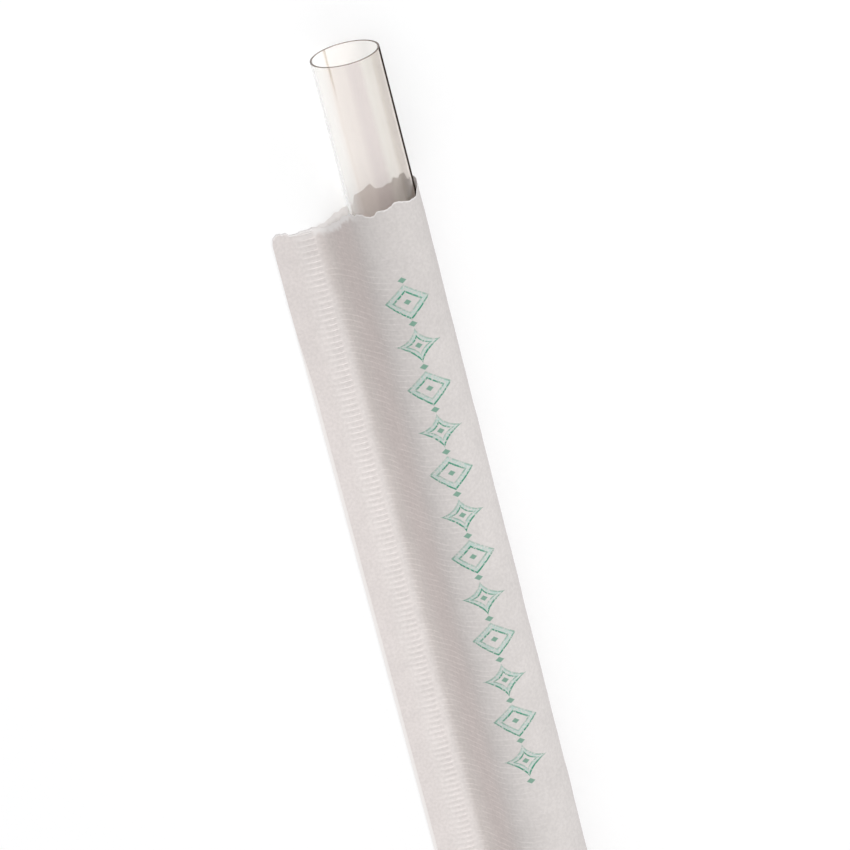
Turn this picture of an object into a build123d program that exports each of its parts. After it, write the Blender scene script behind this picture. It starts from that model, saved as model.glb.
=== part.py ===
from build123d import *
import math
import os

# A drinking straw in its paper wrapper, torn open at one end. Millimetres, +Z up.
# The straw lies along X with its open tip towards -X. The wrapper's crimped margin points to -Y
# and its rounded fold to +Y. The wrapper lies on its flat lower ply, at Z = 0.

# Straw: one plain tube.
straw_diameter = 6.1
straw_wall = 0.18
straw_length = 196.85

# Wrapper: one strip of paper folded round the straw, its two long edges crimped together.
paper = 0.1                 # one ply
straw_clearance = 0.15      # between the straw and the paper round it
bond_gap = 0.05             # how much thicker the crimp is than two plies
margin_reach = 10.2         # from the straw's axis to the crimped edges
crown_slope = 64.0          # degrees, where the upper ply leaves the straw
flank_slope = 56.0          # degrees, where its hollow flank reaches the margin
valley_radius = 1.6         # where it turns into the margin

# Wrapper, closed end: the sleeve flattens into a second crimp.
spare_length = 2.0          # sleeve beyond the straw's inner end
taper_length = 10.0
end_crimp_length = 5.0

# Wrapper, torn end. Each point of a tear is a share of the way from the margin's edge to the
# fold, and how far the tear lies there beyond the least exposed length of straw.
exposed_length = 12.4
upper_tear = [(0.0, 4.0), (0.03, 3.2), (0.19, 3.4), (0.36, 3.5), (0.53, 1.5), (0.63, 1.2),
              (0.76, 0.8), (0.88, 0.9), (0.96, 1.1), (1.0, 0.1)]
lower_tear = [(0.0, 4.0), (0.03, 3.2), (0.19, 3.4), (0.36, 3.5), (0.46, 2.4), (0.54, 1.9),
              (0.61, 1.3), (0.70, 0.7), (0.76, 1.3), (0.84, 1.0), (0.93, 0.2), (1.0, 0.0)]

# Worked out from the sizes above.
straw_radius = straw_diameter / 2
sleeve_radius = straw_radius + straw_clearance + paper
axis_height = sleeve_radius
crimp_thickness = 2 * paper + bond_gap
crown_end = math.radians(crown_slope)
flank_end = math.radians(flank_slope)
valley_height = crimp_thickness + valley_radius
flank_rise = (axis_height + sleeve_radius * math.cos(crown_end)
              - valley_height + valley_radius * math.cos(flank_end))
flank_radius = flank_rise / (math.cos(flank_end) - math.cos(crown_end))
flank_run = flank_radius * (math.sin(crown_end) - math.sin(flank_end))
valley_y = -sleeve_radius * math.sin(crown_end) - flank_run - valley_radius * math.sin(flank_end)
loop_length = (-valley_y + sleeve_radius * (math.pi + crown_end)
               + flank_radius * (crown_end - flank_end) + valley_radius * flank_end)
flat_fold_y = valley_y + loop_length / 2
taper_start = straw_length + spare_length
taper_end = taper_start + taper_length
overall_length = taper_end + end_crimp_length
overall_width = margin_reach + flat_fold_y

# The frame's origin is the middle of the underside, so the straw's axis and tip stand here.
axis_y = (margin_reach - flat_fold_y) / 2
tip_x = -overall_length / 2


def across(distance):
    """The section plane at a distance from the straw's tip, with its origin under the axis."""
    return Plane(origin=(tip_x + distance, axis_y, 0), x_dir=(0, 1, 0), z_dir=(1, 0, 0))


def section(plane, edges, corners):
    """A face on the plane from the edges given, closed by straight lines through the corners."""
    start, end = edges[0] @ 0, edges[-1] @ 1
    path = [end, *corners, start]
    closing = [Edge.make_line(first, second) for first, second in zip(path, path[1:])]
    return plane * make_face(edges + closing)


def margin_corners(inside):
    """The crimp's edge, as seen in section: only the outside of the paper reaches it."""
    if inside:
        return []
    return [Vector(-margin_reach, crimp_thickness), Vector(-margin_reach, 0)]


def hollow_arc(centre, radius, start, end):
    """An arc that sags below its centre, between two slopes in radians."""
    return ThreePointArc(*[
        centre + Vector(radius * math.sin(angle), -radius * math.cos(angle))
        for angle in (start, (start + end) / 2, end)
    ]).edge()


def round_section(distance, inside):
    """The sleeve round the straw, by its outside or by the inside of the paper."""
    skin = paper if inside else 0
    radius = sleeve_radius - skin
    floor = Edge.make_line((valley_y, skin), (0, skin))
    stops = [-90, -20, 20, 90 + crown_slope]
    wrap = [Edge.make_circle(radius, Plane((0, axis_height, 0)), start, end)
            for start, end in zip(stops, stops[1:])]
    valley_centre = Vector(valley_y, valley_height)
    flank_centre = valley_centre + Vector(
        -(flank_radius - valley_radius) * math.sin(flank_end),
        (flank_radius - valley_radius) * math.cos(flank_end))
    flank = hollow_arc(flank_centre, flank_radius + skin, crown_end, flank_end)
    valley = hollow_arc(valley_centre, valley_radius + skin, flank_end, 0)
    return section(across(distance), [floor, *wrap, flank, valley], margin_corners(inside))


def flat_section(distance, inside):
    """The flattened sleeve, with as many edges as the round one and in the same order."""
    skin = paper if inside else 0
    fold = flat_fold_y - skin
    top = crimp_thickness - skin
    crest = -sleeve_radius * math.sin(crown_end)
    foot = valley_y + valley_radius * math.sin(flank_end)
    points = [(valley_y, skin), (0, skin), (fold, skin), (fold, top), (crest, top), (foot, top),
              (valley_y, top)]
    edges = [Edge.make_line(first, second) for first, second in zip(points, points[1:])]
    return section(across(distance), edges, margin_corners(inside))


def sleeve(inside, start):
    """The closed end's taper and the sleeve that leads to it, as one solid."""
    tube = extrude(round_section(start, inside), taper_start - start)
    taper = loft([round_section(taper_start, inside), flat_section(taper_end, inside)], ruled=True)
    return tube + taper


def torn_off(tear, low, high):
    """What the tear takes away between two heights."""
    width = margin_reach + sleeve_radius
    edge = [(tip_x + exposed_length + beyond, axis_y - margin_reach + share * width)
            for share, beyond in tear]
    spill = sleeve_radius
    outline = [(tip_x - spill, edge[0][1] - spill), (edge[0][0], edge[0][1] - spill), *edge,
               (edge[-1][0], edge[-1][1] + spill), (tip_x - spill, edge[-1][1] + spill)]
    return extrude(Plane.XY.offset(low) * make_face(Polyline(*outline, close=True)), high - low)


def make_straw():
    """A thin clear tube, open at both ends."""
    end = Plane(origin=(tip_x, axis_y, axis_height), x_dir=(0, 1, 0), z_dir=(1, 0, 0))
    ring = Circle(straw_radius) - Circle(straw_radius - straw_wall)
    return extrude(end * ring, straw_length)


def make_wrapper():
    """The folded strip: sleeve, taper and crimped end, less its hollow and the torn-off end."""
    paper_block = sleeve(False, 0) + extrude(flat_section(taper_end, False), end_crimp_length)
    hollow = sleeve(True, -1)
    top = 2 * sleeve_radius + 1
    return (paper_block - hollow
            - torn_off(upper_tear, axis_height, top)
            - torn_off(lower_tear, -1, axis_height))


os.makedirs("parts", exist_ok=True)
for name, solid in {"straw": make_straw(), "wrapper": make_wrapper()}.items():
    solid.label = name
    export_step(solid, f"parts/{name}.step")
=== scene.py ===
import math
import random

import bpy
import numpy as np
from mathutils import Matrix, Vector


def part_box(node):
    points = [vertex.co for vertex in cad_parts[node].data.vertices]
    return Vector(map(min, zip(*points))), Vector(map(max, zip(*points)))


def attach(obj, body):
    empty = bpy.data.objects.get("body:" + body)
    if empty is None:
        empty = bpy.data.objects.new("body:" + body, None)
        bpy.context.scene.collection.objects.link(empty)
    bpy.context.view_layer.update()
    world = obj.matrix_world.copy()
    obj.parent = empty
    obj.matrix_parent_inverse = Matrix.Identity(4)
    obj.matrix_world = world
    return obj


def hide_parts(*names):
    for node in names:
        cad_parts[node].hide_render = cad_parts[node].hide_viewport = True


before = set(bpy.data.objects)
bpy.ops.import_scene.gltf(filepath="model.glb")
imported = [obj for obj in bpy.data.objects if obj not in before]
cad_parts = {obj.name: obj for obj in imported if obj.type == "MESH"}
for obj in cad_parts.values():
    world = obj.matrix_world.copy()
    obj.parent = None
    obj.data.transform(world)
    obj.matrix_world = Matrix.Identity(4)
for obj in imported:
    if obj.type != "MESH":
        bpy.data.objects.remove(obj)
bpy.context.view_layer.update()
mm = 0.001


# Camera: it stands over the open end, well above, and looks down the straw. The straw leans to
# one side of its view and runs out of the lower edge.
camera_lean = math.radians(22.55)     # off straight down
camera_roll = math.radians(14.54)
camera_distance = 444 * mm
camera_lens = 214.9
straw_low, straw_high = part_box("straw")
wrapper_low, wrapper_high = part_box("wrapper")
axis_y = (straw_low.y + straw_high.y) / 2
axis_z = (straw_low.z + straw_high.z) / 2
aim_from_tip = 34.9 * mm
aim_beside = 1.3 * mm
aim = Vector((straw_low.x + aim_from_tip, axis_y - aim_beside, axis_z))

looking = Vector((math.sin(camera_lean), 0, -math.cos(camera_lean)))
sideways = Vector((0, 1, 0))
upwards = sideways.cross(looking)
right = math.cos(camera_roll) * sideways - math.sin(camera_roll) * upwards
up = math.cos(camera_roll) * upwards + math.sin(camera_roll) * sideways
bpy.ops.object.camera_add(
    location=aim - looking * camera_distance,
    rotation=Matrix((right, up, -looking)).transposed().to_euler(),
)
camera = bpy.context.object
camera.data.lens = camera_lens
camera.data.sensor_width = 36
camera.data.clip_start = 0.01
bpy.context.scene.camera = camera


# Table top and light: a plain white table, a pale room all round and one broad soft lamp high on
# the fold's side.
def material(name):
    made = bpy.data.materials.new(name)
    made.use_nodes = True
    return made, made.node_tree, made.node_tree.nodes["Principled BSDF"]


def calculate(tree, operation, *values):
    """The output of one Math node, whose inputs are numbers or the outputs of other nodes."""
    node = tree.nodes.new("ShaderNodeMath")
    node.operation = operation
    for socket, value in zip(node.inputs, values):
        if isinstance(value, (int, float)):
            socket.default_value = value
        else:
            tree.links.new(value, socket)
    return node.outputs[0]


bpy.ops.object.select_all(action="DESELECT")
bpy.ops.mesh.primitive_plane_add(size=6, location=(0, 0, 0))
table = bpy.context.object
table.name = "table_top"
table_white, tree, shader = material("table_white")
shader.inputs["Base Color"].default_value = (0.835, 0.842, 0.85, 1)
shader.inputs["Roughness"].default_value = 0.9
shader.inputs["Specular IOR Level"].default_value = 0.1
shader.inputs["Emission Color"].default_value = (1, 1, 1, 1)
path = tree.nodes.new("ShaderNodeLightPath")
seen = path.outputs["Is Camera Ray"]
for ray in ("Is Transmission Ray", "Is Glossy Ray"):
    seen = calculate(tree, "MAXIMUM", seen, path.outputs[ray])
table_glow = 0.2
tree.links.new(calculate(tree, "MULTIPLY", seen, table_glow), shader.inputs["Emission Strength"])
table.data.materials.append(table_white)

world = bpy.data.worlds.new("pale_room")
bpy.context.scene.world = world
world.use_nodes = True
world.node_tree.nodes["Background"].inputs["Color"].default_value = (1, 0.99, 0.98, 1)
world.node_tree.nodes["Background"].inputs["Strength"].default_value = 0.665

lamp_place = Vector((-0.25, 0.38, 0.75))
bpy.ops.object.light_add(type="AREA", location=lamp_place)
lamp = bpy.context.object
lamp.name = "soft_lamp"
lamp.data.shape = "DISK"
lamp.data.size = 0.7
lamp.data.energy = 3.1
lamp.rotation_euler = (-lamp_place).to_track_quat("-Z", "Y").to_euler()

scene = bpy.context.scene
scene.view_settings.view_transform = "Standard"


# Straw: one extruded tube of clear plastic, thin-walled, cut square at both ends. The bands of
# tint across it are painted reflections and refraction. Its cut rims are painted dark brown, and
# one side is painted near-black where it turns edge-on to the view: both are painted shade.
def fade(tree, value, low, high, start=0.0, finish=1.0):
    """Goes smoothly from start to finish while the value goes from low to high."""
    node = tree.nodes.new("ShaderNodeMapRange")
    node.interpolation_type = "SMOOTHSTEP"
    tree.links.new(value, node.inputs["Value"])
    ends = {"From Min": low, "From Max": high, "To Min": start, "To Max": finish}
    for name, number in ends.items():
        node.inputs[name].default_value = number
    return node.outputs["Result"]


def tinted(tree, share, first, second, way="MIX"):
    """A mix of two colours, each a plain colour or the output of another node."""
    node = tree.nodes.new("ShaderNodeMix")
    node.data_type = "RGBA"
    node.blend_type = way
    for index, value in ((0, share), (6, first), (7, second)):
        socket = node.inputs[index]
        if isinstance(value, bpy.types.NodeSocket):
            tree.links.new(value, socket)
        else:
            socket.default_value = (*value, 1) if isinstance(value, tuple) else value
    return node.outputs[2]


def object_place(tree):
    place = tree.nodes.new("ShaderNodeTexCoord").outputs["Object"]
    parts = tree.nodes.new("ShaderNodeSeparateXYZ")
    tree.links.new(place, parts.inputs[0])
    return place, parts.outputs


straw_radius = (straw_high.y - straw_low.y) / 2
straw_length = straw_high.x - straw_low.x
straw_wall = 0.18 * mm
rim_softness = 0.03 * mm
bpy.ops.object.select_all(action="DESELECT")
bpy.ops.mesh.primitive_cylinder_add(
    vertices=160, radius=straw_radius, depth=straw_length, end_fill_type="NOTHING",
    location=((straw_low.x + straw_high.x) / 2, axis_y, axis_z), rotation=(0, math.pi / 2, 0))
straw = bpy.context.object
straw.name = "clear_straw"
bpy.ops.object.transform_apply(location=True, rotation=True, scale=True)
wall = straw.modifiers.new("wall", "SOLIDIFY")
wall.thickness = straw_wall
wall.offset = -1
wall.use_even_offset = True
soft = straw.modifiers.new("soft_rims", "BEVEL")
soft.width = rim_softness
soft.segments = 2
soft.limit_method = "ANGLE"
soft.angle_limit = math.radians(60)
for modifier in ("wall", "soft_rims"):
    bpy.ops.object.modifier_apply(modifier=modifier)
bpy.ops.object.shade_smooth_by_angle(angle=math.radians(40))
true_walls = straw.modifiers.new("true_walls", "WEIGHTED_NORMAL")
true_walls.keep_sharp = True
true_walls.weight = 100
bpy.ops.object.modifier_apply(modifier="true_walls")

clear, tree, shader = material("clear_plastic")
shader.inputs["Roughness"].default_value = 0.02
shader.inputs["IOR"].default_value = 1.46
shader.inputs["Transmission Weight"].default_value = 1
place, parts = object_place(tree)
side = calculate(tree, "DIVIDE", calculate(tree, "SUBTRACT", parts["Y"], axis_y), straw_radius)
# Painted reflections and refraction: a ramp of tints across the upper half, set by how far round
# the tube a point lies and wavering a little along it.
painted_reflections = tree.nodes.new("ShaderNodeValToRGB")
stretched = tree.nodes.new("ShaderNodeMapping")
stretched.inputs["Scale"].default_value = (0.02, 1, 1)
tree.links.new(place, stretched.inputs["Vector"])
drawn = tree.nodes.new("ShaderNodeTexNoise")
drawn.inputs["Scale"].default_value = 1500
tree.links.new(stretched.outputs[0], drawn.inputs["Vector"])
wavering = calculate(tree, "MULTIPLY_ADD", drawn.outputs["Fac"], 0.08, 0.46)
tree.links.new(calculate(tree, "MULTIPLY_ADD", side, 0.5, wavering), painted_reflections.inputs["Fac"])
painted_reflection_tints = [
    (0.00, (0.95, 0.95, 0.94)), (0.10, (0.88, 0.87, 0.855)), (0.20, (0.89, 0.865, 0.845)),
    (0.42, (0.87, 0.84, 0.83)), (0.47, (0.84, 0.805, 0.80)), (0.53, (0.82, 0.78, 0.785)),
    (0.64, (0.85, 0.81, 0.81)), (0.71, (0.96, 0.95, 0.92)), (0.80, (0.96, 0.93, 0.895)),
    (0.84, (0.80, 0.76, 0.71)), (0.93, (0.66, 0.61, 0.58)), (0.965, (0.86, 0.79, 0.74))]
for position, colour in painted_reflection_tints[1:-1]:
    painted_reflections.color_ramp.elements.new(position)
for stop, (position, colour) in zip(painted_reflections.color_ramp.elements, painted_reflection_tints):
    stop.position = position
    stop.color = (*colour, 1)
# The lower half, seen through the upper, is painted too: a step from clear to cream, a tan line
# near the mouth and a pale tint on the far side of the mouth are painted reflections and
# refraction.
upper_half = fade(tree, calculate(tree, "SUBTRACT", parts["Z"], axis_z), -0.1 * mm, 0.1 * mm)
clear_tint, cream_tint = (1.0, 1.0, 0.995), (0.975, 0.955, 0.935)
painted_line_tint, far_tint = (0.74, 0.67, 0.60), (0.95, 0.935, 0.91)
lower_tint = tinted(tree, fade(tree, side, -0.64, -0.60), clear_tint, cream_tint)
painted_line_side = -0.54
from_painted_line = calculate(tree, "ABSOLUTE", calculate(tree, "SUBTRACT", side, painted_line_side))
painted_line = fade(tree, from_painted_line, 0.045, 0.01)
mouth = fade(tree, parts["X"], straw_low.x + 2 * mm, straw_low.x + 5 * mm, 1.0, 0.1)
painted_line = calculate(tree, "MULTIPLY", painted_line, mouth)
lower_tint = tinted(tree, painted_line, lower_tint, painted_line_tint)
far_side_of_mouth = calculate(tree, "MULTIPLY", mouth, fade(tree, side, 0.42, 0.56))
lower_tint = tinted(tree, far_side_of_mouth, lower_tint, far_tint)
tint = tinted(tree, upper_half, lower_tint, painted_reflections.outputs["Color"])
# Painted shade: where the fold's side of the tube turns edge-on to the view, a near-black diffuse
# is mixed in for the dark edge of a clear tube.
weight = tree.nodes.new("ShaderNodeLayerWeight")
weight.inputs["Blend"].default_value = 0.5
grazing = fade(tree, weight.outputs["Facing"], 0.66, 0.70)
brown = calculate(tree, "MULTIPLY", grazing, fade(tree, side, 0.94, 0.95))
tree.links.new(tint, shader.inputs["Base Color"])
painted_edge_shade = tree.nodes.new("ShaderNodeBsdfDiffuse")
painted_edge_shade.inputs["Color"].default_value = (0.03, 0.02, 0.016, 1)
with_edge_shade = tree.nodes.new("ShaderNodeMixShader")
tree.links.new(brown, with_edge_shade.inputs["Fac"])
tree.links.new(shader.outputs[0], with_edge_shade.inputs[1])
tree.links.new(painted_edge_shade.outputs[0], with_edge_shade.inputs[2])


def let_lamps_through(tree, shader, colour):
    """Clear plastic and thin paper throw a pale shadow, so for shadow rays they are only a tint."""
    path = tree.nodes.new("ShaderNodeLightPath")
    through = tree.nodes.new("ShaderNodeBsdfTransparent")
    through.inputs["Color"].default_value = (*colour, 1)
    choose = tree.nodes.new("ShaderNodeMixShader")
    tree.links.new(path.outputs["Is Shadow Ray"], choose.inputs["Fac"])
    tree.links.new(shader.outputs[0], choose.inputs[1])
    tree.links.new(through.outputs[0], choose.inputs[2])
    tree.links.new(choose.outputs[0], tree.nodes["Material Output"].inputs["Surface"])


let_lamps_through(tree, with_edge_shade, (0.985, 0.98, 0.975))
straw.data.materials.append(clear)

# Painted shade: the cut rims are painted dark brown for the dark look of a cut clear-plastic edge.
painted_dark_rim, tree, shader = material("painted_dark_rim")
shader.inputs["Base Color"].default_value = (0.27, 0.17, 0.12, 1)
shader.inputs["Roughness"].default_value = 0.25
shader.inputs["IOR"].default_value = 1.46
shader.inputs["Transmission Weight"].default_value = 0.6
let_lamps_through(tree, shader, (0.8, 0.78, 0.76))
straw.data.materials.append(painted_dark_rim)
for face in straw.data.polygons:
    if abs(face.normal.x) > 0.2:
        face.material_index = 1
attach(straw, "straw")
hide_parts("straw")


# Wrapper: one strip of thin white paper folded round the straw. A toothed wheel has crimped its
# two long edges together and shut its far end, and the near end is torn off.
# How far across the strip a point lies is counted from the valley between sleeve and margin,
# round over the straw and back under it. Sizes here are in millimetres.
ply = 0.1
crimp_thickness = 0.25
crown_slope = math.radians(64)
flank_slope = math.radians(56)
valley_radius = 1.6
sleeve_radius = (wrapper_high.z - wrapper_low.z) / 2 / mm
margin_reach = (axis_y - wrapper_low.y) / mm
strip_start = straw_low.x / mm
closed_end = (wrapper_high.x - straw_low.x) / mm
end_crimp = 5
taper = 10

flank_rise = (sleeve_radius * (1 + math.cos(crown_slope)) - crimp_thickness - valley_radius
              + valley_radius * math.cos(flank_slope))
flank_radius = flank_rise / (math.cos(flank_slope) - math.cos(crown_slope))
valley_y = (-sleeve_radius * math.sin(crown_slope) - valley_radius * math.sin(flank_slope)
            - flank_radius * (math.sin(crown_slope) - math.sin(flank_slope)))
valley_end = valley_radius * flank_slope
flank_end = valley_end + flank_radius * (crown_slope - flank_slope)
crown_top = flank_end + sleeve_radius * crown_slope
wrap_end = flank_end + sleeve_radius * (math.pi + crown_slope)
loop = wrap_end - valley_y
margin = margin_reach + valley_y

# The paper's heading across the strip gives its section: level, up the flank, round, and back.
step_length = 0.01
fold_softness = 0.15
steps = np.arange(-margin, loop + margin, step_length)
round_heading = np.interp(steps, [0, valley_end, flank_end, wrap_end],
                          [0, flank_slope, crown_slope, -math.pi])
flat_heading = np.interp(
    steps, [loop / 2 - fold_softness, loop / 2 + fold_softness], [0, -math.pi])


def section_of(heading):
    """Places of the steps across the strip, and the directions that the paper faces there."""
    y = np.concatenate([[0], np.cumsum(np.cos(heading[:-1]) * step_length)]) - margin_reach
    z = np.concatenate([[0], np.cumsum(np.sin(heading[:-1]) * step_length)]) + crimp_thickness
    fall = z[-1] * np.clip(steps / loop, 0, 1)
    return y, z - fall, -np.sin(heading), np.cos(heading)


round_section = section_of(round_heading)
flat_section = section_of(flat_heading)


def smooth_step(value, low, high):
    share = np.clip((value - low) / (high - low), 0, 1)
    return share * share * (3 - 2 * share)


dice = random.Random(7)


def ripple(x, t, wave, count=5):
    """Gentle random waves over the strip, from -1 to 1, about that many millimetres long."""
    total = np.zeros(np.broadcast(x, t).shape)
    for _ in range(count):
        turn = dice.uniform(0, math.tau)
        size = math.tau / (wave * dice.uniform(0.7, 1.5))
        start = dice.uniform(0, math.tau)
        total = total + np.sin(size * (x * math.cos(turn) + t * math.sin(turn)) + start)
    return total / count


# The tear, by the place across the strip and the distance from the straw's tip. Both plies of
# the margin tore as one.
tear = [(-3.75, 16.45), (-3.6, 15.75), (-3.2, 15.5), (-2.6, 15.5), (-2.0, 15.75), (-1.1, 15.85),
        (-0.2, 15.65), (0.7, 15.75), (1.3, 15.7), (2.3, 15.3), (3.9, 14.5), (5.3, 13.9),
        (5.9, 13.6), (7.0, 13.55), (7.9, 13.65), (9.0, 13.52), (9.4, 13.42), (10.3, 13.1),
        (10.9, 13.1), (11.9, 13.5), (13.0, 13.5), (14.0, 12.9), (14.8, 12.45), (15.8, 12.6),
        (16.7, 12.9), (17.0, 12.35), (17.5, 12.55), (17.9, 13.0), (18.6, 13.1), (18.8, 13.4),
        (19.9, 13.75), (20.4, 13.7), (20.8, 12.9), (21.3, 13.45), (22.4, 13.8), (22.9, 14.25),
        (23.4, 14.6), (24.1, 14.95), (24.8, 15.25), (25.5, 15.5), (26.5, 15.65)]
rib_pitch = 0.55
rib_height = 0.14
end_share, flank_share = 0.8, 0.14     # of the ribs' height, on the closed end and up the flank
rib_zone = 2.05
band_end = 33 * rib_pitch
band_rows = 30


def across_columns(parts):
    """Columns across the strip, with each zone between two places split evenly."""
    places = []
    for low, high, count in parts:
        places += [low + (high - low) * index / count for index in range(count)]
    return np.array(places + [parts[-1][1]])


columns = across_columns([
    (-margin, -rib_zone, 3), (-rib_zone, 0, 5), (0, valley_end, 3), (valley_end, flank_end, 6),
    (flank_end, wrap_end, 18), (wrap_end, loop, 3), (loop, loop + rib_zone, 5),
    (loop + rib_zone, loop + margin, 3)])
fine_columns = across_columns([(low, high, 6) for low, high in zip(columns, columns[1:])])


def ribs(x, t):
    """Height of the crimp's ribs, which stand across the margin and across the closed end."""
    upper = smooth_step(t, -rib_zone - 0.1, -rib_zone + 1.2) * (1 - smooth_step(t, -0.25, 0.15))
    lower = (1 - smooth_step(t, loop + rib_zone - 1.2, loop + rib_zone + 0.1)) * smooth_step(
        t, loop - 0.15, loop + 0.25)
    shut = smooth_step(x, closed_end - end_crimp, closed_end - end_crimp + 0.5)
    flank = smooth_step(t, 0, 0.3) * (1 - smooth_step(t, 1.5, 6.5)) * flank_share
    strength = np.maximum(np.maximum(np.maximum(upper, lower), shut * end_share), flank)
    return rib_height * strength * (0.5 + 0.5 * np.cos(math.tau * x / rib_pitch))


def paper_point(x, t, inside):
    """Places of points on the paper's outer face, or one ply inside it, in the frame's metres."""
    flat = smooth_step(x, closed_end - end_crimp - taper, closed_end - end_crimp - 0.3)
    places = []
    for rounded, flattened in zip(round_section, flat_section):
        round_place = np.interp(t, steps, rounded)
        places.append((1 - flat) * round_place + flat * np.interp(t, steps, flattened))
    y, z, normal_y, normal_z = places
    out = ribs(x, t) + waves(x, t) - inside
    y = y + normal_y * out
    z = z + normal_z * out
    under = smooth_step(t, wrap_end - 1.5, wrap_end)
    z = z * (1 - under) + under * np.maximum(z, 0)
    return np.stack([(strip_start + x) * mm, axis_y + y * mm, np.maximum(z, 0) * mm], axis=-1)


wave_settings = [(9, 0.05), (3.5, 0.03), (1.6, 0.012)]
wave_state = dice.getstate()


def waves(x, t):
    dice.setstate(wave_state)
    total = 0
    free = smooth_step(t, 0.3, 3) * (1 - smooth_step(t, wrap_end - 3, wrap_end))
    for wave, height in wave_settings:
        total = total + height * ripple(x, t, wave)
    return total * free * 0.6 + 0.02 * (1 - free)


def uneven(t, pitch):
    """A random wandering line over the strip's width, between -1 and 1, with no regular wave."""
    knots = np.arange(-margin - 2 * pitch, loop + margin + 2 * pitch, pitch)
    heights = np.array([dice.uniform(-1, 1) for _ in knots])
    first = np.clip(np.searchsorted(knots, t) - 1, 0, len(knots) - 2)
    share = smooth_step(t, knots[first], knots[first + 1])
    return heights[first] * (1 - share) + heights[first + 1] * share


fray = [(0.10, 0.67), (0.09, 0.34), (0.07, 0.17)]     # height and pitch


def edge_of(t):
    """How far from the straw's tip the paper starts, at each place across the strip."""
    t = np.where(t > loop, loop - t, t)
    rough = sum(height * uneven(t, pitch) for height, pitch in fray)
    calm = 1 - 0.6 * smooth_step(-t, margin - 1.2, margin - 0.2) + 0.7 * smooth_step(t, 22.0, 22.8)
    return np.interp(t, [place for place, _ in tear], [edge for _, edge in tear]) + rough * calm


edge_line = edge_of(fine_columns)
far_from_tear = 9
vertices, faces, uses, gaps, insides = [], [], [], [], []


def add_row(x, t, inside, gap):
    """Adds one row of points across the strip, and gives their numbers."""
    start = len(vertices)
    vertices.extend(paper_point(x, t, inside).tolist())
    uses.extend(np.stack([np.broadcast_to(x, t.shape), t], axis=-1).tolist())
    gaps.extend(np.broadcast_to(gap, t.shape).tolist())
    insides.extend([float(inside > 0)] * len(t))
    return list(range(start, start + len(t)))


inset = 0.32


def upper_edge(x, t):
    """Moves the upper ply's edge in from the lower one, beyond the first stretch from the tear."""
    shift = inset * smooth_step(x, 22, 32)
    plain = margin - rib_zone
    return np.where(t < -rib_zone, -rib_zone + (t + rib_zone) * (1 - shift / plain), t)


def ledge(x, row):
    """The lower ply's bare edge: the upper ply's own thickness, then the strip beyond it."""
    first = vertices[row[0]]
    last = vertices[row[-1]]
    start = len(vertices)
    step = (crimp_thickness - ply) * mm
    vertices.append([first[0], first[1], step])
    vertices.append([last[0], last[1] + 1e-6, step])
    uses.extend([[x, -margin], [x, -margin]])
    gaps.extend([far_from_tear] * 2)
    insides.extend([1.0, 1.0])
    return [start, start + 1]


outer, ledges = [], []
for index in range(band_rows):
    x = edge_line + (band_end - edge_line) * index / band_rows
    outer.append(add_row(x, fine_columns, 0, x - edge_line))
    ledges.append(ledge(float(x[0]), outer[-1]))
row_places = np.arange(band_end, closed_end - 0.01, rib_pitch / 4).tolist() + [closed_end]
for x in row_places:
    row = add_row(np.full(len(columns), x), upper_edge(x, columns), 0, far_from_tear)
    outer.append(row)
    ledges.append(ledge(x, outer[-1]))


def join(first, second, turned):
    """Faces between two rows, which may have several times as many points on the first."""
    ratio = (len(first) - 1) // (len(second) - 1)
    for index in range(len(second) - 1):
        corner = first[index * ratio:(index + 1) * ratio + 1] + [second[index + 1], second[index]]
        faces.append(corner[::-1] if turned else corner)


for first, second in zip(outer, outer[1:]):
    join(first, second, True)
for (first, second), (row, after) in zip(zip(ledges, ledges[1:]), zip(outer, outer[1:])):
    faces.append([row[0], after[0], second[0], first[0]])
    faces.append([first[0], second[0], second[1], first[1]])
    faces.append([first[1], second[1], after[-1], row[-1]])

# The inside of the sleeve is smooth enough for fewer rows.
sleeve_fine = (fine_columns >= -1e-9) & (fine_columns <= loop + 1e-9)
sleeve_coarse = (columns >= -1e-9) & (columns <= loop + 1e-9)
inner = []
for index in range(band_rows):
    x = edge_line + (band_end - edge_line) * index / band_rows
    thin = ply * smooth_step(index, -1.5, 5)
    from_tear = (x - edge_line)[sleeve_fine]
    inner.append(add_row(x[sleeve_fine], fine_columns[sleeve_fine], thin, from_tear))
hollow_end = closed_end - end_crimp - 0.5
for x in [place for place in row_places[::4] if place < hollow_end]:
    t = columns[sleeve_coarse]
    inner.append(add_row(np.full(len(t), x), t, ply, far_from_tear))
for first, second in zip(inner, inner[1:]):
    join(first, second, False)
    faces.append([first[0], second[0], second[-1], first[-1]])

# The torn edge itself, and the two ends.
first_sleeve = int(np.argmax(sleeve_fine))
for index in range(len(inner[0]) - 1):
    a = outer[0][first_sleeve + index]
    b = outer[0][first_sleeve + index + 1]
    faces.append([a, b, inner[0][index + 1], inner[0][index]])
last_sleeve = first_sleeve + len(inner[0]) - 1
upper_lip = outer[0][:first_sleeve + 1]
lower_lip = outer[0][last_sleeve:][::-1]
faces.append([upper_lip[0], upper_lip[1], lower_lip[1], lower_lip[0], ledges[0][1], ledges[0][0]])
for index in range(1, len(upper_lip) - 1):
    faces.append([upper_lip[index], upper_lip[index + 1], lower_lip[index + 1], lower_lip[index]])
faces.append([upper_lip[-1], inner[0][0], inner[0][-1], lower_lip[-1]])
faces.append(outer[-1][::-1] + [ledges[-1][0], ledges[-1][1]])
faces.append(inner[-1])

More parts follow.
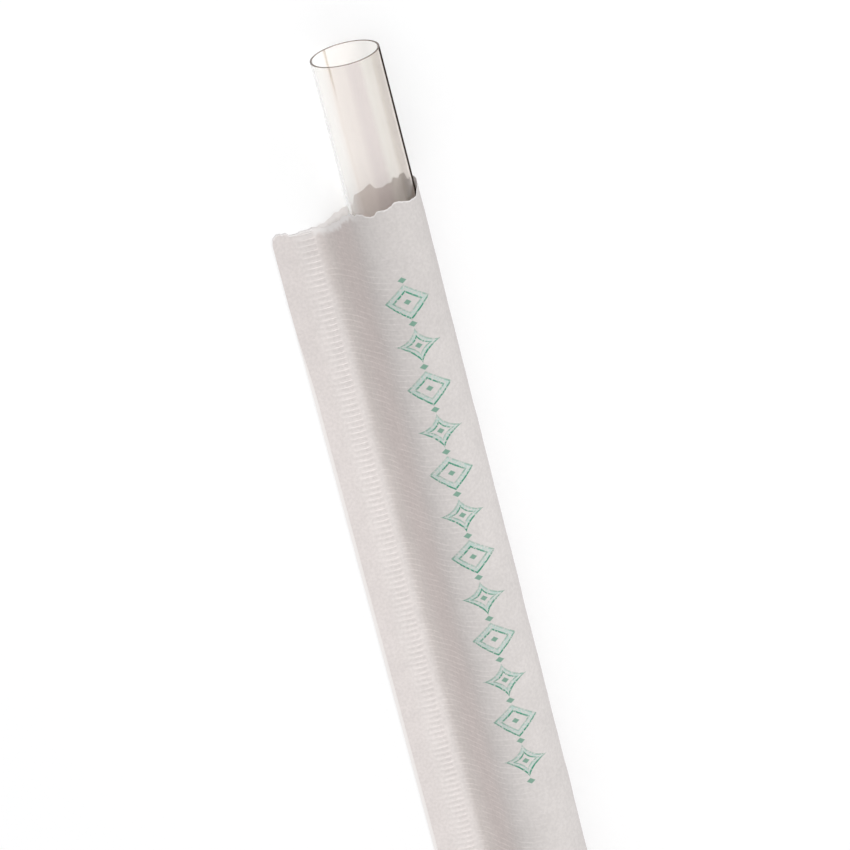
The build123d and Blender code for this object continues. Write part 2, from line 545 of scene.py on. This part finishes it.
sheet_mesh = bpy.data.meshes.new("paper_wrapper")
sheet_mesh.from_pydata(vertices, [], faces)
sheet_mesh.validate()
strip_map = sheet_mesh.uv_layers.new(name="strip")
loop_vertices = np.zeros(len(sheet_mesh.loops), int)
sheet_mesh.loops.foreach_get("vertex_index", loop_vertices)
strip_map.data.foreach_set("uv", (np.array(uses)[loop_vertices] / 100).ravel().astype(np.float32))
for name, values in (("torn_gap", gaps), ("inner_face", insides)):
    kept = sheet_mesh.attributes.new(name, "FLOAT", "POINT")
    kept.data.foreach_set("value", np.array(values, np.float32))
wrapper = bpy.data.objects.new("paper_wrapper", sheet_mesh)
bpy.context.collection.objects.link(wrapper)
bpy.ops.object.select_all(action="DESELECT")
wrapper.select_set(True)
bpy.context.view_layer.objects.active = wrapper
bpy.ops.object.mode_set(mode="EDIT")
bpy.ops.mesh.select_all(action="SELECT")
bpy.ops.mesh.normals_make_consistent(inside=False)
bpy.ops.object.mode_set(mode="OBJECT")
bpy.ops.object.shade_smooth_by_angle(angle=math.radians(50))

paper, tree, shader = material("crimped_paper")
shader.inputs["Roughness"].default_value = 0.8
shader.inputs["Specular IOR Level"].default_value = 0.3
place, parts = object_place(tree)
strip = tree.nodes.new("ShaderNodeUVMap")
strip.uv_map = "strip"
strip_parts = tree.nodes.new("ShaderNodeSeparateXYZ")
tree.links.new(strip.outputs[0], strip_parts.inputs[0])
along = calculate(tree, "MULTIPLY", strip_parts.outputs["X"], 100)
across = calculate(tree, "MULTIPLY", strip_parts.outputs["Y"], 100)


def speckle(scale, detail):
    noise = tree.nodes.new("ShaderNodeTexNoise")
    noise.inputs["Scale"].default_value = scale
    noise.inputs["Detail"].default_value = detail
    tree.links.new(place, noise.inputs["Vector"])
    return noise.outputs["Fac"]


def product(*values):
    total = values[0]
    for value in values[1:]:
        total = calculate(tree, "MULTIPLY", total, value)
    return total


grain = speckle(3600, 3)
mottle = speckle(420, 3)

# The colour steps from margin through valley and flank to crown are partly the paper's own, as two
# plies crimped together are whiter than one, and partly painted light and shade. The paper also
# greys a little towards the tear.
margin_white = (0.778, 0.730, 0.717)
rib_white = (0.825, 0.782, 0.768)
valley_grey = (0.735, 0.68, 0.66)
flank_grey = (0.705, 0.637, 0.62)
crown_white = (0.688, 0.655, 0.643)
colour = tinted(tree, fade(tree, across, -2.4, -1.0), margin_white, rib_white)
# Painted shade: nearer the tear the valley's and the flank's darker colour starts further towards
# the margin.
shade_across = calculate(tree, "ADD", across, fade(tree, along, 18.0, 26.0, 0.45, 0.0))
colour = tinted(tree, fade(tree, shade_across, 0.2, 1.2), colour, valley_grey)
colour = tinted(tree, fade(tree, shade_across, 1.5, 3.5), colour, flank_grey)
colour = tinted(tree, fade(tree, across, 4.0, 8.0), colour, crown_white)
colour = tinted(tree, fade(tree, across, loop - 0.6, loop + 0.4), colour, rib_white)
colour = tinted(tree, fade(tree, across, loop + 1.0, loop + 2.4), colour, margin_white)
shade = product(fade(tree, along, 14, 42, 0.93, 1.0), fade(tree, mottle, 0.25, 0.75, 0.975, 1.025),
                fade(tree, grain, 0.25, 0.75, 0.95, 1.05))

# The ribs' crests are painted lighter, a painted highlight brightest at their inner ends, and the
# troughs between them darker, a painted shade. Finer creases run on from them up the flank and are
# painted lighter as a painted highlight. Crests and creases also raise the bump.
wander = calculate(tree, "MULTIPLY_ADD", speckle(300, 1), 0.5, along)
wave = calculate(tree, "COSINE", calculate(tree, "MULTIPLY", wander, math.tau / rib_pitch))
straight_wave = calculate(tree, "COSINE", calculate(tree, "MULTIPLY", along, math.tau / rib_pitch))
on_upper = calculate(tree, "SUBTRACT", fade(tree, across, -rib_zone - 0.2, -0.4),
                     fade(tree, across, -0.2, 0.15))
on_lower = calculate(tree, "SUBTRACT", fade(tree, across, loop - 0.15, loop + 0.2),
                     fade(tree, across, loop + 0.4, loop + rib_zone + 0.2))
on_end = fade(tree, along, closed_end - end_crimp, closed_end - end_crimp + 0.6)
crimped = calculate(tree, "MAXIMUM", calculate(tree, "MAXIMUM", on_upper, on_lower), on_end)
keen = product(fade(tree, across, -rib_zone - 0.2, -0.3, 0.55, 1.45),
               fade(tree, along, 35, 60, 1.0, 0.65))
crest_unevenness = fade(tree, speckle(900, 2), 0.3, 0.7, 0.6, 1.35)
crest = product(fade(tree, straight_wave, 0.4, 1.0), crimped, keen, crest_unevenness)
trough_shade = product(fade(tree, straight_wave, 0.0, -1.0), crimped)
on_flank = calculate(tree, "SUBTRACT", fade(tree, across, 0.1, 0.9), fade(tree, across, 6.5, 11.0))
patchy = fade(tree, speckle(700, 2), 0.38, 0.62, 0.15, 1.0)
crease = product(fade(tree, wave, 0.55, 1.0), on_flank, patchy,
                 fade(tree, along, 15.5, 20.0, 0.3, 1.0))
# Painted highlight on crests and creases, painted shade in the troughs.
for marks, painted_light in ((crest, 0.145), (trough_shade, -0.08), (crease, 0.15)):
    shade = product(shade, calculate(tree, "MULTIPLY_ADD", marks, painted_light, 1))

# Thinned fibres along the tear, most where the flank and the margin gave way slowly, are painted
# whiter: partly the torn fibres' own white and partly painted light, for thin fibres lit from
# behind.
gap = tree.nodes.new("ShaderNodeAttribute")
gap.attribute_name = "torn_gap"
inner_face = tree.nodes.new("ShaderNodeAttribute")
inner_face.attribute_name = "inner_face"
ragged = calculate(tree, "MULTIPLY_ADD", speckle(1800, 3), 0.9, gap.outputs["Fac"])
pulled = calculate(tree, "SUBTRACT", fade(tree, across, -2.2, 0.6), fade(tree, across, 5.0, 7.5))
pulled = calculate(tree, "ADD", pulled, fade(tree, across, 22.8, 23.8))
fibre = product(fade(tree, ragged, 1.3, 0.75), pulled)
lip_gap = calculate(tree, "MULTIPLY_ADD", speckle(4200, 1), 0.16, gap.outputs["Fac"])
outer_face = calculate(tree, "SUBTRACT", 1, inner_face.outputs["Fac"])
torn_lip = product(fade(tree, lip_gap, 0.24, 0.1), outer_face)
fibre = calculate(tree, "MAXIMUM", fibre, torn_lip)
grey = tree.nodes.new("ShaderNodeCombineColor")
for socket in grey.inputs:
    tree.links.new(shade, socket)
colour = tinted(tree, 1.0, colour, grey.outputs[0], "MULTIPLY")
# The inside of the sleeve is painted lighter than the paper, painted light for lamp light coming
# through the thin paper; it turns greyer low under the straw and on the lower ply.
inner_painted_light, inner_grey = (0.95, 0.91, 0.90), (0.70, 0.66, 0.65)
lower_ply_grey = (0.79, 0.772, 0.765)
bare_edge_white = (0.90, 0.875, 0.865)
fibre_white_and_painted_light = (0.90, 0.88, 0.875)
inside = tinted(tree, fade(tree, across, 17.0, 20.5), inner_painted_light, inner_grey)
inside = tinted(tree, fade(tree, across, 22.3, 23.3), inside, lower_ply_grey)
inside = tinted(tree, fade(tree, across, 0.1, -0.1), inside, bare_edge_white)
colour = tinted(tree, inner_face.outputs["Fac"], colour, inside)
colour = tinted(tree, product(fibre, 0.85), colour, fibre_white_and_painted_light)

# A printed border of lozenges and four-pointed stars, in one green, each drawn as a hollow line
# that took more ink on its far side.
print_start, print_end = 20.0, 69.5
motifs = 12
motif_pitch = (print_end - print_start) / motifs
half_long, half_wide = 1.58, 2.0
cell = calculate(tree, "DIVIDE", calculate(tree, "SUBTRACT", along, print_start), motif_pitch)
star = calculate(tree, "MODULO", calculate(tree, "FLOOR", cell), 2)
from_middle = calculate(tree, "SUBTRACT", calculate(tree, "FRACT", cell), 0.5)
forward = calculate(tree, "MULTIPLY", from_middle, motif_pitch)
beside = calculate(tree, "SUBTRACT", across, crown_top - 0.1)
long_part = calculate(tree, "DIVIDE", calculate(tree, "ABSOLUTE", forward), half_long)
wide_part = calculate(tree, "DIVIDE", calculate(tree, "ABSOLUTE", beside), half_wide)
power = calculate(tree, "MULTIPLY_ADD", star, -0.32, 1)
reach = calculate(tree, "ADD", calculate(tree, "POWER", long_part, power),
                  calculate(tree, "POWER", wide_part, power))
hollow = calculate(tree, "MULTIPLY_ADD", star, 0.06, 0.64)
inwards = calculate(tree, "SUBTRACT", reach, hollow)
from_rim = calculate(tree, "ABSOLUTE", calculate(tree, "SUBTRACT", reach, 1))
from_hollow = calculate(tree, "ABSOLUTE", inwards)
far_side = fade(tree, forward, -0.7, 0.7)
near_side = fade(tree, forward, 0.7, -0.7)
ring = calculate(tree, "MULTIPLY", fade(tree, inwards, -0.02, 0.02), fade(tree, reach, 1.02, 0.98))
line_faint, line_full = 0.085, 0.035
rim_line = product(fade(tree, from_rim, line_faint, line_full),
                   calculate(tree, "MULTIPLY_ADD", far_side, 0.65, 0.3))
hollow_line = product(fade(tree, from_hollow, line_faint, line_full),
                      calculate(tree, "MULTIPLY_ADD", near_side, 0.65, 0.3))
dot_long, dot_wide = 0.3, 0.42
to_next = calculate(tree, "SUBTRACT", motif_pitch / 2, calculate(tree, "ABSOLUTE", forward))
dot_reach = calculate(tree, "ADD", calculate(tree, "DIVIDE", to_next, dot_long),
                      calculate(tree, "DIVIDE", calculate(tree, "ABSOLUTE", beside), dot_wide))
middle_shrink = 5.5
middle_reach = product(calculate(tree, "ADD", long_part, wide_part), middle_shrink)
dot = calculate(tree, "MAXIMUM", fade(tree, dot_reach, 1.1, 0.8),
                fade(tree, middle_reach, 1.1, 0.8))
ink_grain = speckle(5200, 2)
in_print = calculate(tree, "MULTIPLY", fade(tree, along, print_start - 0.42, print_start - 0.38),
                     fade(tree, along, print_end + 0.42, print_end + 0.38))
dark_ink = calculate(tree, "MAXIMUM", rim_line, hollow_line)
dark_ink = product(dark_ink, in_print, fade(tree, ink_grain, 0.32, 0.52, 0.25, 1.0))
dark_ink = calculate(tree, "MAXIMUM", dark_ink, product(dot, in_print, 0.7))
pale_ink = product(ring, in_print, fade(tree, ink_grain, 0.35, 0.65, 0.15, 0.75))
pale_green, dark_green = (0.43, 0.62, 0.57), (0.03, 0.28, 0.17)
colour = tinted(tree, pale_ink, colour, pale_green)
colour = tinted(tree, dark_ink, colour, dark_green)
tree.links.new(colour, shader.inputs["Base Color"])

height = product(crest, 0.030 * mm)
for marks, depth in ((crease, 0.016), (grain, 0.012)):
    height = calculate(tree, "ADD", height, product(marks, depth * mm))
bump = tree.nodes.new("ShaderNodeBump")
bump.inputs["Distance"].default_value = 1
bump.inputs["Strength"].default_value = 1
tree.links.new(height, bump.inputs["Height"])
tree.links.new(bump.outputs[0], shader.inputs["Normal"])
let_lamps_through(tree, shader, (0.87, 0.865, 0.86))
wrapper.data.materials.append(paper)
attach(wrapper, "wrapper")
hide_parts("wrapper")
